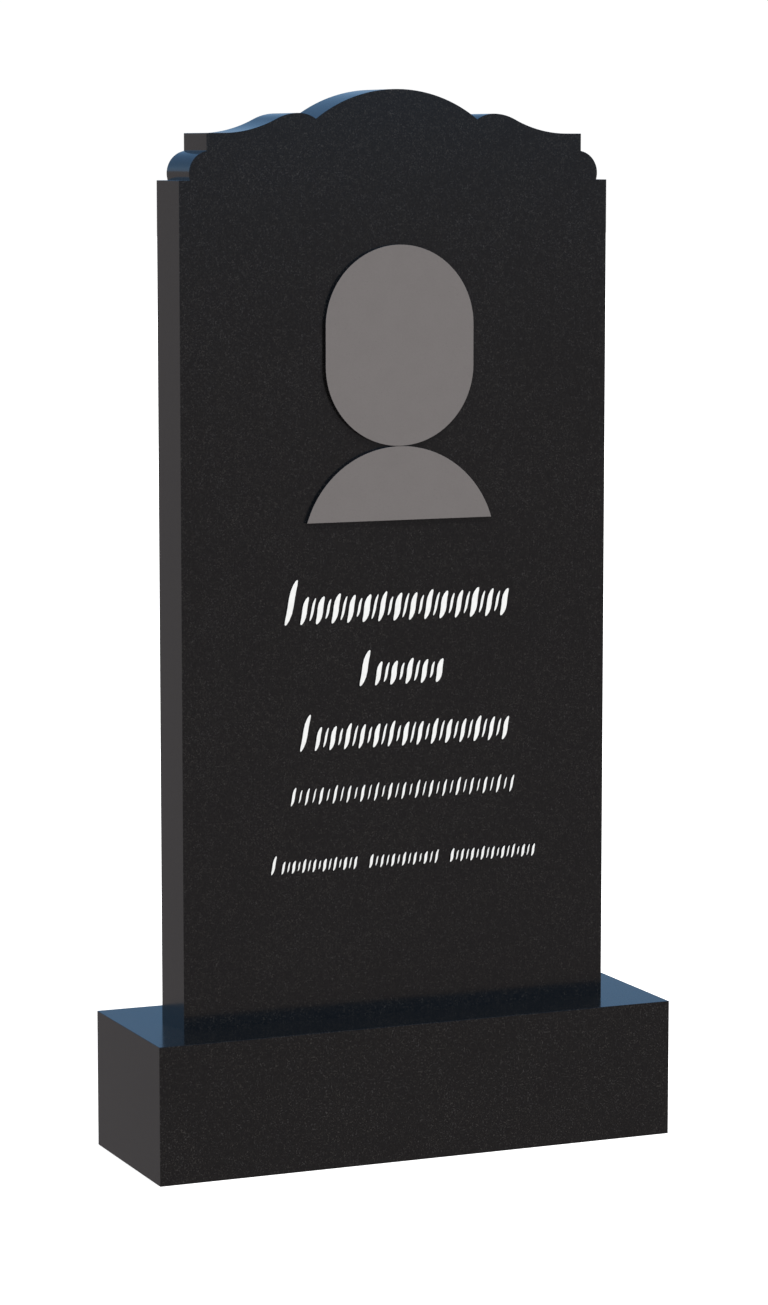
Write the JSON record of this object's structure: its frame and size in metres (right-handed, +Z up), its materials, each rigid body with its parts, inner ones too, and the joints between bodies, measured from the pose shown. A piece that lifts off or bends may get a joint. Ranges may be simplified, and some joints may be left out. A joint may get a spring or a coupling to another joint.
{
  "type": "headstone",
  "caption": "Upright headstone: a polished black stone slab with an arched, scrolled head on a plain block base, with raised stroke rows and a blank figure plate.",
  "frame": {"origin": "middle of the base's underside", "axes": "+Z up, -Y out of the carved face towards the viewer, +X to the viewer's right"},
  "size_m": [0.6, 0.2, 1.1503],
  "materials": {
    "stone": "polished black granite",
    "figure": "fine honed warm grey",
    "inscription": "satin white stone paint"
  },
  "bodies": {
    "root": {"base": "stone", "stele": "stone", "portrait_head": "figure", "portrait_shoulders": "figure"}
  },
  "joints": []
}
